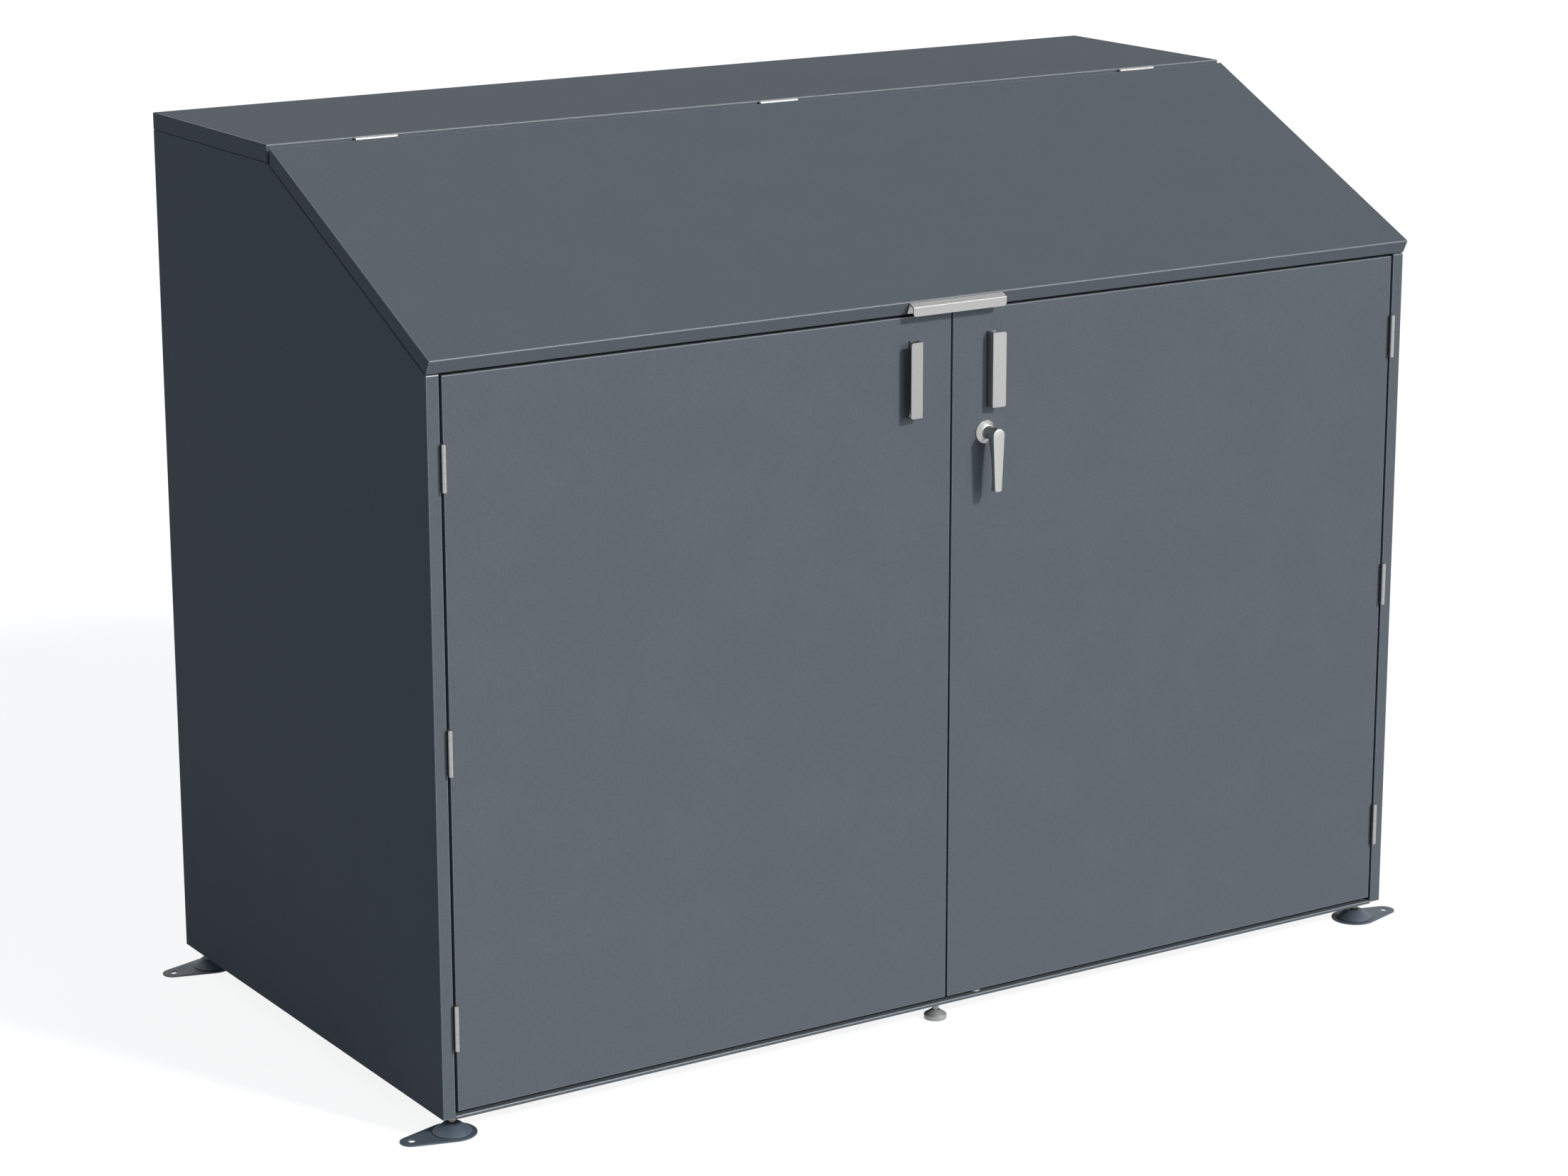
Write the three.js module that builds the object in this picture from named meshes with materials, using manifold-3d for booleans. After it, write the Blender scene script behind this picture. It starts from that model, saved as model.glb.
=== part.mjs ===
// Bicycle locker: a folded steel cabinet with two front doors, a sloping lid held by gas struts,
// a lever lock that drives two rods, and six levelling feet. Millimetres, Z up.
import * as THREE from 'three';
import { mergeVertices } from 'three/addons/utils/BufferGeometryUtils.js';
import Module from 'manifold-3d';

const wasm = await Module();
wasm.setup();

// Driving dimensions. X runs along the front and is zero at the middle, Y runs to the rear from
// the front face, and Z runs up from the lower edge of the cabinet walls.
const width = 2000;
const depth = 1005;
const bodyHeight = 1535;
const groundClearance = 39;
const panelSheet = 1.5;
const baseSheet = 2;
const seatGap = 0.3; // between pieces that rest on each other
const pinGap = 0.3; // radial, a pin or rod in its own hole
const overrun = 6; // how far a cutter passes the face that it opens
const roundSides = 24;
const pinSides = 16;
const hexSides = 6;

const vec = (a, b) => new THREE.Vector2(a, b);
const halfWidth = width / 2;
const innerWallX = halfWidth - panelSheet;

// Solids

function solid(geometry) {
  geometry.deleteAttribute('normal');
  geometry.deleteAttribute('uv');
  const merged = mergeVertices(geometry);
  return new wasm.Manifold(new wasm.Mesh({
    numProp: 3,
    vertProperties: merged.attributes.position.array,
    triVerts: new Uint32Array(merged.index.array),
  }));
}

const unitX = new THREE.Vector3(1, 0, 0);
const unitY = new THREE.Vector3(0, 1, 0);
const unitZ = new THREE.Vector3(0, 0, 1);

// An outline drawn in YZ, XZ or XY and carried along the third axis.
function prism(axis, outline, from, to) {
  const shape = outline instanceof THREE.Shape ? outline : new THREE.Shape(outline);
  const geometry = new THREE.ExtrudeGeometry(shape, {
    depth: to - from,
    bevelEnabled: false,
    curveSegments: roundSides / 4,
  });
  const matrix = new THREE.Matrix4();
  if (axis === 'x') matrix.makeBasis(unitY, unitZ, unitX).setPosition(from, 0, 0);
  if (axis === 'y') matrix.makeBasis(unitX, unitZ, unitY.clone().negate()).setPosition(0, to, 0);
  if (axis === 'z') matrix.setPosition(0, 0, from);
  return solid(geometry.applyMatrix4(matrix));
}

function block(x0, x1, y0, y1, z0, z1) {
  const geometry = new THREE.BoxGeometry(x1 - x0, y1 - y0, z1 - z0);
  return solid(geometry.translate((x0 + x1) / 2, (y0 + y1) / 2, (z0 + z1) / 2));
}

// A round bar or cone along an axis through the point (a, b) of the plane across that axis.
function bar(axis, radius, from, to, a = 0, b = 0, sides = roundSides, endRadius = radius) {
  const geometry = new THREE.CylinderGeometry(endRadius, radius, to - from, sides);
  const middle = (from + to) / 2;
  if (axis === 'x') geometry.rotateZ(-Math.PI / 2).translate(middle, a, b);
  if (axis === 'y') geometry.translate(a, middle, b);
  if (axis === 'z') geometry.rotateX(Math.PI / 2).translate(a, b, middle);
  return solid(geometry);
}

// A profile of (radius, height) turned about the Y axis.
function turned(profile) {
  return solid(new THREE.LatheGeometry(profile, roundSides));
}

// Moves each edge of a closed outline inwards by its own distance.
function insetOutline(points, insets) {
  const lines = points.map((point, i) => {
    const along = points[(i + 1) % points.length].clone().sub(point).normalize();
    const start = point.clone().addScaledVector(vec(-along.y, along.x), insets[i]);
    return { start, along };
  });
  return lines.map((line, i) => {
    const before = lines[(i + lines.length - 1) % lines.length];
    const reach = line.start.clone().sub(before.start).cross(line.along) / before.along.cross(line.along);
    return before.start.clone().addScaledVector(before.along, reach);
  });
}

// The outline of a folded strip: a path and its copy, set off to the left by the sheet thickness.
function foldedStrip(path, thickness) {
  const normals = path.slice(1).map((point, i) => {
    const along = point.clone().sub(path[i]).normalize();
    return vec(-along.y, along.x);
  });
  const far = path.map((point, i) => {
    const before = normals[Math.max(i - 1, 0)];
    const after = normals[Math.min(i, normals.length - 1)];
    const miter = before.clone().add(after);
    return point.clone().addScaledVector(miter, (2 * thickness) / miter.lengthSq());
  });
  return [...path, ...far.reverse()];
}

function rectangle(a0, a1, b0, b1) {
  return [vec(a0, b0), vec(a1, b0), vec(a1, b1), vec(a0, b1)];
}

function roundedRectangle(a0, a1, b0, b1, radius) {
  const shape = new THREE.Shape();
  shape.absarc(a1 - radius, b0 + radius, radius, -Math.PI / 2, 0);
  shape.absarc(a1 - radius, b1 - radius, radius, 0, Math.PI / 2);
  shape.absarc(a0 + radius, b1 - radius, radius, Math.PI / 2, Math.PI);
  shape.absarc(a0 + radius, b0 + radius, radius, Math.PI, 1.5 * Math.PI);
  return shape;
}

// Finishes

const slatePaint = () => new THREE.MeshStandardMaterial({ color: 0x50565e, roughness: 0.55, metalness: 0.1 });
const stainless = () => new THREE.MeshStandardMaterial({ color: 0xbdbdbb, roughness: 0.35, metalness: 0.9 });
const zincPlate = () => new THREE.MeshStandardMaterial({ color: 0xa3a6a8, roughness: 0.45, metalness: 0.8 });
const blackPaint = () => new THREE.MeshStandardMaterial({ color: 0x1b1d1f, roughness: 0.5, metalness: 0.2 });

function piece(name, body, material) {
  const out = body.getMesh();
  const geometry = new THREE.BufferGeometry();
  geometry.setAttribute('position', new THREE.BufferAttribute(out.vertProperties, 3));
  geometry.setIndex(new THREE.BufferAttribute(out.triVerts, 1));
  geometry.computeVertexNormals();
  const mesh = new THREE.Mesh(geometry, material);
  mesh.name = name;
  return mesh;
}

// Roof and lid lines, seen from the side

const roofDepth = 456;
const roofSkirt = 29.5;
const roofJoint = 0.8;
const lidRearGap = 10;
const lidDrop = 4; // lid surface below the roof surface at the rear edge
const lidFrontHeight = 1266.4;
const lidOverhang = 11.8;
const lidSkirt = 25;
const lidJoint = 3;

const roofFrontY = depth - roofDepth;
const lidRearY = roofFrontY - lidRearGap;
const lidRearZ = bodyHeight - lidDrop;
const lidAngle = Math.atan2(lidRearZ - lidFrontHeight, lidRearY + lidOverhang);
const slope = Math.tan(lidAngle);
const lidUp = vec(Math.cos(lidAngle), Math.sin(lidAngle)); // along the lid, towards the rear
const lidIn = vec(Math.sin(lidAngle), -Math.cos(lidAngle)); // square to the lid, into the cabinet
const lidFrontEdge = vec(-lidOverhang, lidFrontHeight);
const lidRearEdge = vec(lidRearY, lidRearZ);
const lidPoint = (along, below) => (
  lidFrontEdge.clone().addScaledVector(lidUp, along).addScaledVector(lidIn, below)
);
const lidUnderAt = (y, below) => lidRearZ - (lidRearY - y) * slope - below / Math.cos(lidAngle);
const lidFlangeFoot = lidPoint(0, lidSkirt);

// Side panels: a folded pan with a front return that forms the post beside the door

const postWidth = 23.4;
const postLip = 25;
const sideSeam = lidSkirt + lidJoint;
const shoulderZ = bodyHeight - roofSkirt - roofJoint;
const shoulderY = lidRearY - (lidUnderAt(lidRearY, sideSeam) - shoulderZ) / slope;
const sideOutline = [
  vec(0, 0),
  vec(depth, 0),
  vec(depth, shoulderZ),
  vec(shoulderY, shoulderZ),
  vec(0, lidUnderAt(0, sideSeam)),
];
const postInnerX = halfWidth - postWidth;

function sidePanel(name, side) {
  const pan = prism('x', sideOutline, postInnerX, halfWidth);
  const inner = insetOutline(sideOutline, sideOutline.map(() => panelSheet));
  const hollow = prism('x', inner, postInnerX - overrun, innerWallX);
  const lip = block(postInnerX, postInnerX + panelSheet, 0, postLip, 0, bodyHeight);
  const lipInside = prism('x', sideOutline, postInnerX - overrun, halfWidth);
  const mesh = piece(name, pan.subtract(hollow).add(lip.intersect(lipInside)), slatePaint());
  if (side < 0) mirrorAcrossX(mesh.geometry);
  return mesh;
}

function mirrorAcrossX(geometry) {
  geometry.scale(-1, 1, 1);
  const index = geometry.index.array;
  for (let i = 0; i < index.length; i += 3) {
    [index[i + 1], index[i + 2]] = [index[i + 2], index[i + 1]];
  }
  geometry.computeVertexNormals();
}

// Levelling feet: their places are shared by the sill and the floor that they screw into

const footInset = 33.4;
const spindleRadius = 5;
const footNutRadius = 9;
const footNutHeight = 6;
const footHoleRadius = spindleRadius + pinGap;
const cornerFootX = halfWidth - footInset;
const rearFootY = depth - footInset;
const footColumns = [-cornerFootX, 0, cornerFootX];

function withFootNut(plate, x, y, topZ) {
  const from = topZ - baseSheet;
  const to = topZ + footNutHeight;
  const nut = bar('z', footNutRadius, from, to, x, y, hexSides);
  const hole = bar('z', footHoleRadius, from - overrun, to + overrun, x, y, pinSides);
  return plate.add(nut).subtract(hole);
}

// Front sill: a shallow folded step with a low stop that the doors close against

const sillTopZ = 4;
const sillLip = 6;
const sillDepth = 60;
const doorGapBottom = 7;
const doorFold = 25;
const doorStopGap = 3;
const doorStopHeight = 24;
const nutRoom = 4;
const doorStopY = doorFold + doorStopGap;
const sillHalf = postInnerX - seatGap;
const lockX = 71.5;
const rodRadius = 5;
const rodY = 15.6;
const bushOuter = 9;
const bushHeight = 2.5;
const bushGap = 0.8;
const bushBore = rodRadius + bushGap;

function frontSill() {
  const plate = block(-sillHalf, sillHalf, 0, sillDepth, sillTopZ - baseSheet, sillTopZ);
  const lip = block(-sillHalf, sillHalf, 0, baseSheet, sillTopZ - sillLip, sillTopZ);
  const stopFrom = sillTopZ - baseSheet;
  const stopTo = sillTopZ + doorStopHeight;
  const stop = block(-sillHalf, sillHalf, doorStopY, doorStopY + baseSheet, stopFrom, stopTo);
  const stopFront = doorStopY - overrun;
  const stopBack = doorStopY + overrun;
  const room = footNutRadius + nutRoom;
  let sill = plate.add(lip).add(stop);
  footColumns.forEach((x) => {
    sill = sill.subtract(block(x - room, x + room, stopFront, stopBack, sillTopZ, stopTo + overrun));
    sill = withFootNut(sill, x, footInset, sillTopZ);
  });
  const rodHole = bar('z', bushBore, -overrun, sillTopZ + overrun, lockX, rodY);
  return piece('front_sill', sill.subtract(rodHole), slatePaint());
}

function sillBush() {
  const from = sillTopZ + seatGap;
  const ring = bar('z', bushOuter, from, from + bushHeight, lockX, rodY);
  const bore = bar('z', bushBore, from - overrun, from + bushHeight + overrun, lockX, rodY);
  return piece('sill_bush', ring.subtract(bore), stainless());
}

// Floor, back and roof

const floorBottomZ = panelSheet + seatGap;
const floorTopZ = floorBottomZ + baseSheet;
const wallClearX = innerWallX - seatGap;
const rearReturnY = depth - panelSheet;
const backFold = 20;
const backLap = 24; // how far the back panel reaches up inside the roof skirt

function floorPanel() {
  const frontY = sillDepth + seatGap;
  const rearY = rearReturnY - seatGap;
  let floor = block(-wallClearX, wallClearX, frontY, rearY, floorBottomZ, floorTopZ);
  footColumns.forEach((x) => {
    floor = withFootNut(floor, x, rearFootY, floorTopZ);
  });
  return piece('floor_panel', floor, slatePaint());
}

function backPanel() {
  const ledgeZ = shoulderZ - panelSheet - seatGap;
  const topZ = shoulderZ + backLap;
  const narrowX = postInnerX - seatGap;
  const outline = [
    vec(-wallClearX, floorTopZ + seatGap),
    vec(wallClearX, floorTopZ + seatGap),
    vec(wallClearX, ledgeZ),
    vec(narrowX, ledgeZ),
    vec(narrowX, topZ),
    vec(-narrowX, topZ),
    vec(-narrowX, ledgeZ),
    vec(-wallClearX, ledgeZ),
  ];
  const rearY = rearReturnY - seatGap;
  const pan = prism('y', outline, rearY - backFold, rearY);
  const inner = insetOutline(outline, outline.map(() => panelSheet));
  const hollow = prism('y', inner, rearY - backFold - overrun, rearY - panelSheet);
  return piece('back_panel', pan.subtract(hollow), slatePaint());
}

// A pan carried across the full width, open along the edges whose inset is negative.
function crossPan(outline, insets) {
  const outer = prism('x', outline, -halfWidth, halfWidth);
  return outer.subtract(prism('x', insetOutline(outline, insets), -innerWallX, innerWallX));
}

function roofCap() {
  const outline = rectangle(roofFrontY, depth, bodyHeight - roofSkirt, bodyHeight);
  return piece('roof_cap', crossPan(outline, [-overrun, panelSheet, panelSheet, panelSheet]), slatePaint());
}

// Lid: a sloping pan with its rear fold upright, a channel across it and a keeper for the upper rod

const lidChannelAtShare = 0.5;
const channelWidth = 60;
const channelFoot = 16;
const channelDepth = 18;
const channelSheet = 1.5;
const channelEndGap = 90;
const keeperSheet = 2.5;
const keeperHalf = 20;
const keeperReach = 28;
const keeperRise = 3.5;
const keeperPlate = 15;
const lidLength = lidRearEdge.distanceTo(lidFrontEdge);

function lidPanel() {
  const outline = [
    lidFlangeFoot,
    vec(lidRearY, lidUnderAt(lidRearY, lidSkirt)),
    lidRearEdge,
    lidFrontEdge,
  ];
  return piece('lid_panel', crossPan(outline, [-overrun, panelSheet, panelSheet, panelSheet]), slatePaint());
}

// A hat-section channel in its own frame: feet on the line v = 0, crown at v = channelDepth.
function channelPath() {
  const foot = channelWidth / 2 + channelFoot;
  const web = channelWidth / 2;
  const before = [vec(-foot, 0), vec(-web, 0), vec(-web, channelDepth)];
  return [...before, vec(web, channelDepth), vec(web, 0), vec(foot, 0)];
}

function lidChannel() {
  const at = lidLength * lidChannelAtShare;
  const strip = foldedStrip(channelPath(), channelSheet);
  const outline = strip.map((point) => lidPoint(at + point.x, panelSheet + seatGap + point.y));
  const halfLength = halfWidth - channelEndGap;
  return piece('lid_stiffener', prism('x', outline, -halfLength, halfLength), slatePaint());
}

function lidKeeper() {
  const inner = panelSheet + seatGap;
  const start = lidPoint(inner, lidSkirt - keeperPlate);
  const bend = lidPoint(inner, lidSkirt - keeperRise);
  const strip = foldedStrip([start, bend, vec(keeperReach, bend.y)], keeperSheet);
  const body = prism('x', strip, lockX - keeperHalf, lockX + keeperHalf);
  const hole = bar('z', bushBore, bend.y - overrun, bend.y + keeperSheet + overrun, lockX, rodY);
  return piece('lid_keeper', body.subtract(hole), zincPlate());
}

// Doors: cassettes with an inner rim, flush with the posts

const doorGapSide = 4.4;
const doorGapMid = 3.6;
const doorGapTop = 5;
const doorRim = 14;
const doorOuterX = postInnerX - doorGapSide;
const doorInnerX = doorGapMid / 2;
const doorBottomZ = sillTopZ + doorGapBottom;
const doorTopZ = lidFlangeFoot.y - doorGapTop;
const doorMidX = (doorOuterX + doorInnerX) / 2;
const doorMidZ = (doorBottomZ + doorTopZ) / 2;
const doorChannelGap = 55;
const lockDrop = 216.1; // lever axis below the top edge of the doors
const lockZ = doorTopZ - lockDrop;
const shaftRadius = 10.5;
const shaftGap = 0.4;

function doorPanel(name, side) {
  const outline = rectangle(doorInnerX, doorOuterX, doorBottomZ, doorTopZ);
  const sheets = outline.map(() => panelSheet);
  const rims = outline.map(() => doorRim);
  const shell = prism('y', outline, 0, doorFold);
  const hollow = prism('y', insetOutline(outline, sheets), panelSheet, doorFold - panelSheet);
  const mouth = prism('y', insetOutline(outline, rims), panelSheet, doorFold + overrun);
  let door = shell.subtract(hollow).subtract(mouth);
  if (side > 0) {
    const bore = bar('y', shaftRadius + shaftGap, -overrun, panelSheet + overrun, lockX, lockZ);
    const rodBore = bar('z', rodRadius + pinGap, doorBottomZ - overrun, doorTopZ + overrun, lockX, rodY);
    door = door.subtract(bore).subtract(rodBore);
  }
  const mesh = piece(name, door, slatePaint());
  if (side < 0) mirrorAcrossX(mesh.geometry);
  return mesh;
}

function doorChannel(name, side) {
  const strip = foldedStrip(channelPath(), channelSheet);
  const outline = strip.map((point) => vec(point.x, panelSheet + seatGap + point.y));
  const from = doorBottomZ + doorChannelGap;
  const mesh = piece(name, prism('z', outline, from, doorTopZ - doorChannelGap), slatePaint());
  mesh.position.x = side * doorMidX;
  return mesh;
}

// Pull handles, folded from one strip

const handleSheet = 2.5;
const handleLength = 130;
const handleX = 72.2;
const handleRise = 109.7;
const handleZ = lockZ + handleRise;
const handleDepth = 19.4;
const handleFace = 25.6;
const handleBase = 16;
const handleLean = THREE.MathUtils.degToRad(6);
const handleCorner = 4;
const lidHandleLength = 191;
const lidHandleStart = 1.5;
const lidHandleBase = 21;
const lidHandleWeb = 14;
const lidHandleDrop = 16;
const lidHandleCorner = 6;

// The door handle in its own frame: the door face is y = 0 and the web stands at x = 0.
function doorHandleBody() {
  const tip = vec(handleFace * Math.cos(handleLean), -handleDepth - handleFace * Math.sin(handleLean));
  const path = [tip, vec(0, -handleDepth), vec(0, -seatGap), vec(handleBase, -seatGap)];
  const body = prism('z', foldedStrip(path, -handleSheet), -handleLength / 2, handleLength / 2);
  const reach = handleFace + handleCorner;
  const trim = roundedRectangle(-reach, handleFace, -handleLength / 2, handleLength / 2, handleCorner);
  return body.intersect(prism('y', trim, -handleDepth - reach, overrun));
}

function doorHandle(name, side) {
  const mesh = piece(name, doorHandleBody(), stainless());
  mesh.position.set(side * handleX, 0, handleZ);
  if (side < 0) mesh.rotation.y = Math.PI;
  return mesh;
}

function lidHandle() {
  const top = lidPoint(-seatGap, lidHandleStart);
  const foot = lidPoint(-seatGap, lidHandleStart + lidHandleBase);
  const nose = top.clone().addScaledVector(lidUp, -lidHandleWeb);
  const drop = vec(nose.x, nose.y - lidHandleDrop);
  const strip = foldedStrip([drop, nose, top, foot], -handleSheet);
  const half = lidHandleLength / 2;
  const body = prism('x', strip, -half, half);
  const trim = roundedRectangle(-half, half, drop.y, top.y + lidHandleDrop, lidHandleCorner);
  const cutter = prism('y', trim, drop.x - overrun, foot.x + overrun);
  return piece('lid_handle', body.intersect(cutter), stainless());
}

// Hinges: the fixed half holds the pin in its two outer knuckles, the moving half turns between them

const barrelRadius = 4.1;
const barrelLength = 78;
const hingePin = 2.4;
const knuckleGap = 0.4;
const leafSheet = 1.5;
const leafReach = 20;
const midKnuckleShare = 1 / 3;
const doorHingeProud = 6.6;
const doorHingePitch = 467;
const lidHingeInset = 200;
const doorHingeX = postInnerX - doorGapSide / 2;
const lidHingeY = roofFrontY - lidRearGap / 2;
const lidHingeZ = lidRearZ;
const midKnuckleHalf = (barrelLength * midKnuckleShare) / 2;

// Both halves in the hinge's own frame: the pin lies along Z, the leaves reach towards +Y and the
// fixed side is +X. gap is the room between the two faces that the leaves are screwed to.
function hingeHalf(fixed, gap, leafEnd) {
  const half = barrelLength / 2;
  const outer = gap / 2 - seatGap;
  const side = fixed ? 1 : -1;
  const leafFrom = Math.min(side * (outer - leafSheet), side * outer);
  const leaf = block(leafFrom, leafFrom + leafSheet, 0, leafEnd, -half, half);
  const room = barrelRadius + knuckleGap;
  const middle = midKnuckleHalf + (fixed ? knuckleGap : 0);
  if (fixed) {
    const notch = block(-gap, gap, -overrun, room, -middle, middle);
    const barrel = bar('z', barrelRadius, -half, half, 0, 0, pinSides).add(leaf).subtract(notch);
    return barrel.add(bar('z', hingePin, -half, half, 0, 0, pinSides));
  }
  const upperNotch = block(-gap, gap, -overrun, room, middle, half + overrun);
  const lowerNotch = block(-gap, gap, -overrun, room, -half - overrun, -middle);
  const knuckle = bar('z', barrelRadius, -middle, middle, 0, 0, pinSides);
  const bore = bar('z', hingePin + pinGap, -half - overrun, half + overrun, 0, 0, pinSides);
  return leaf.subtract(upperNotch).subtract(lowerNotch).add(knuckle).subtract(bore);
}

function hinge(name, gap, leafEnd) {
  const group = new THREE.Group();
  group.add(piece(`${name}_fixed`, hingeHalf(true, gap, leafEnd), stainless()));
  group.add(piece(`${name}_moving`, hingeHalf(false, gap, leafEnd), stainless()));
  return group;
}

function doorHinges(side) {
  const names = ['lower', 'middle', 'upper'];
  return names.map((level, i) => {
    const label = `${side < 0 ? 'left' : 'right'}_door_hinge_${level}`;
    const group = hinge(label, doorGapSide, doorHingeProud + leafReach);
    group.position.set(side * doorHingeX, -doorHingeProud, doorMidZ + (i - 1) * doorHingePitch);
    if (side < 0) group.rotation.y = Math.PI;
    return group;
  });
}

function lidHinges() {
  const places = [-halfWidth + lidHingeInset, 0, halfWidth - lidHingeInset];
  const names = ['left', 'middle', 'right'];
  return names.map((place, i) => {
    const group = hinge(`lid_hinge_${place}`, lidRearGap, leafReach);
    const basis = new THREE.Matrix4().makeBasis(unitY, unitZ.clone().negate(), unitX.clone().negate());
    group.quaternion.setFromRotationMatrix(basis);
    group.position.set(places[i], lidHingeY, lidHingeZ);
    return group;
  });
}

// Lock: rosette and lever outside; square spindle, pinion, tongue cam and two racked rods inside

const rosetteRadius = 20.4;
const rosetteFace = 14.5;
const rosetteHeight = 8;
const rosetteRim = 1.5;
const leverReach = 40.6;
const leverTopRadius = 11.8;
const leverTipHalf = 7.2;
const leverLength = 98.8;
const leverThick = 7;
const leverCurl = 4;
const leverRoot = 21;
const leverTipCorner = 3;
const squareSide = 8;
const squareGap = 0.3;
const shaftInside = 4;
const squareEndY = 31;
const pinionPitch = 10;
const pinionTeeth = 10;
const pinionHead = 1.6;
const pinionRoot = 2.2;
const pressureAngle = THREE.MathUtils.degToRad(30);
const toothThinning = 0.2;
const rackBack = 4.5;
const rackHalf = 4; // half the thickness of racks and pinion along the spindle
const rackStart = 26;
const rackEnd = 27;
const rodWeb = 10;
const rodTipTop = 1.5;
const rodTipFloor = 1.2;
const camY = 26;
const camSheet = 3;
const camHub = 14;
const camTip = 8;
const tongueLap = 10;

function lockRosette() {
  const profile = [
    vec(0, -rosetteHeight),
    vec(rosetteFace, -rosetteHeight),
    vec(rosetteRadius, -seatGap - rosetteRim),
    vec(rosetteRadius, -seatGap),
    vec(0, -seatGap),
  ];
  const bore = bar('y', shaftRadius + shaftGap, -rosetteHeight - overrun, overrun);
  const mesh = piece('lock_rosette', turned(profile).subtract(bore), stainless());
  mesh.position.set(lockX, 0, lockZ);
  return mesh;
}

// The lever in its own frame: the turning axis is Y through the origin.
function lockLever() {
  const face = new THREE.Shape();
  face.absarc(0, 0, leverTopRadius, 0, Math.PI);
  face.lineTo(-leverTipHalf, -leverLength + leverTipCorner);
  face.lineTo(-leverTipHalf + leverTipCorner, -leverLength);
  face.lineTo(leverTipHalf - leverTipCorner, -leverLength);
  face.lineTo(leverTipHalf, -leverLength + leverTipCorner);
  const back = -leverReach + leverThick;
  const profile = new THREE.Shape();
  profile.moveTo(-leverReach, leverTopRadius);
  profile.lineTo(-leverReach, -leverLength / 2);
  profile.quadraticCurveTo(-leverReach, -leverLength, -leverReach + leverCurl, -leverLength);
  profile.lineTo(back + leverCurl, -leverLength);
  profile.quadraticCurveTo(back, -leverLength / 2, back + leverRoot / 4, -leverRoot);
  profile.quadraticCurveTo(back + leverRoot / 2, -leverTopRadius, back + leverRoot / 2, 0);
  profile.lineTo(back + leverRoot / 2, leverTopRadius);
  const plate = prism('y', face, -leverReach, 0);
  const swept = prism('x', profile, -leverTopRadius, leverTopRadius);
  const shaft = bar('y', shaftRadius, back, shaftInside);
  const square = block(-squareSide / 2, squareSide / 2, 0, squareEndY, -squareSide / 2, squareSide / 2);
  const mesh = piece('lock_lever', plate.intersect(swept).add(shaft).add(square), stainless());
  mesh.position.set(lockX, 0, lockZ);
  return mesh;
}

const involute = (angle) => Math.tan(angle) - angle;

function pinionOutline() {
  const base = pinionPitch * Math.cos(pressureAngle);
  const headRadius = pinionPitch + pinionHead;
  const rootRadius = pinionPitch - pinionRoot;
  const halfPitch = Math.PI / (2 * pinionTeeth) - toothThinning / (2 * pinionPitch);
  const flankSteps = 4;
  const points = [];
  for (let tooth = 0; tooth < pinionTeeth; tooth += 1) {
    const centre = (tooth * 2 * Math.PI) / pinionTeeth;
    const flank = [];
    for (let i = 0; i <= flankSteps; i += 1) {
      const radius = base + ((headRadius - base) * i) / flankSteps;
      const local = Math.acos(Math.min(base / radius, 1));
      flank.push({ radius, angle: halfPitch + involute(pressureAngle) - involute(local) });
    }
    const side = [{ radius: rootRadius, angle: flank[0].angle }, ...flank];
    side.forEach(({ radius, angle }) => {
      points.push(vec(radius * Math.cos(centre - angle), radius * Math.sin(centre - angle)));
    });
    side.reverse().forEach(({ radius, angle }) => {
      points.push(vec(radius * Math.cos(centre + angle), radius * Math.sin(centre + angle)));
    });
  }
  return points;
}

function lockPinion() {
  const wheel = prism('y', pinionOutline(), rodY - rackHalf, rodY + rackHalf);
  const side = squareSide / 2 + squareGap;
  const bore = block(-side, side, 0, squareEndY, -side, side);
  const mesh = piece('lock_pinion', wheel.subtract(bore), zincPlate());
  mesh.position.set(lockX, 0, lockZ);
  return mesh;
}

// At rest the tongue points up. A quarter turn brings it behind the rim of the left door.
function lockCam() {
  const reach = lockX + doorInnerX + tongueLap;
  const face = new THREE.Shape();
  face.absarc(0, 0, camHub, Math.PI, 2 * Math.PI);
  face.absarc(0, reach - camTip, camTip, 0, Math.PI);
  const plate = prism('y', face, camY, camY + camSheet);
  const side = squareSide / 2 + squareGap;
  const bore = block(-side, side, 0, camY + camSheet + overrun, -side, side);
  const mesh = piece('lock_cam', plate.subtract(bore), zincPlate());
  mesh.position.set(lockX, 0, lockZ);
  return mesh;
}

// A rod in the frame of the upper one: the rack stands at +X of the spindle and faces it.
function rackedRod(length) {
  const pitch = (2 * Math.PI * pinionPitch) / pinionTeeth;
  const rise = (pinionHead + pinionRoot) * Math.tan(pressureAngle);
  const tipHalf = pitch / 4 - pinionHead * Math.tan(pressureAngle) - toothThinning / 2;
  const tipX = pinionPitch - pinionHead;
  const rootX = pinionPitch + pinionRoot;
  const backX = rootX + rackBack;
  const outline = [vec(backX, -rackEnd), vec(backX, rackStart + rodWeb), vec(rootX, rackStart + rodWeb)];
  const toothBelow = Math.floor(rackStart / pitch);
  for (let tooth = 1; tooth >= -toothBelow; tooth -= 1) {
    const centre = (tooth - 0.5) * pitch;
    outline.push(vec(rootX, centre + tipHalf + rise));
    outline.push(vec(tipX, centre + tipHalf));
    outline.push(vec(tipX, centre - tipHalf));
    outline.push(vec(rootX, centre - tipHalf - rise));
  }
  outline.push(vec(rootX, -rackEnd));
  const rack = prism('y', outline, rodY - rackHalf, rodY + rackHalf);
  const web = block(-rodRadius, backX, rodY - rackHalf, rodY + rackHalf, rackStart, rackStart + rodWeb);
  return rack.add(web).add(bar('z', rodRadius, rackStart + rodWeb / 2, length, 0, rodY));
}

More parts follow.
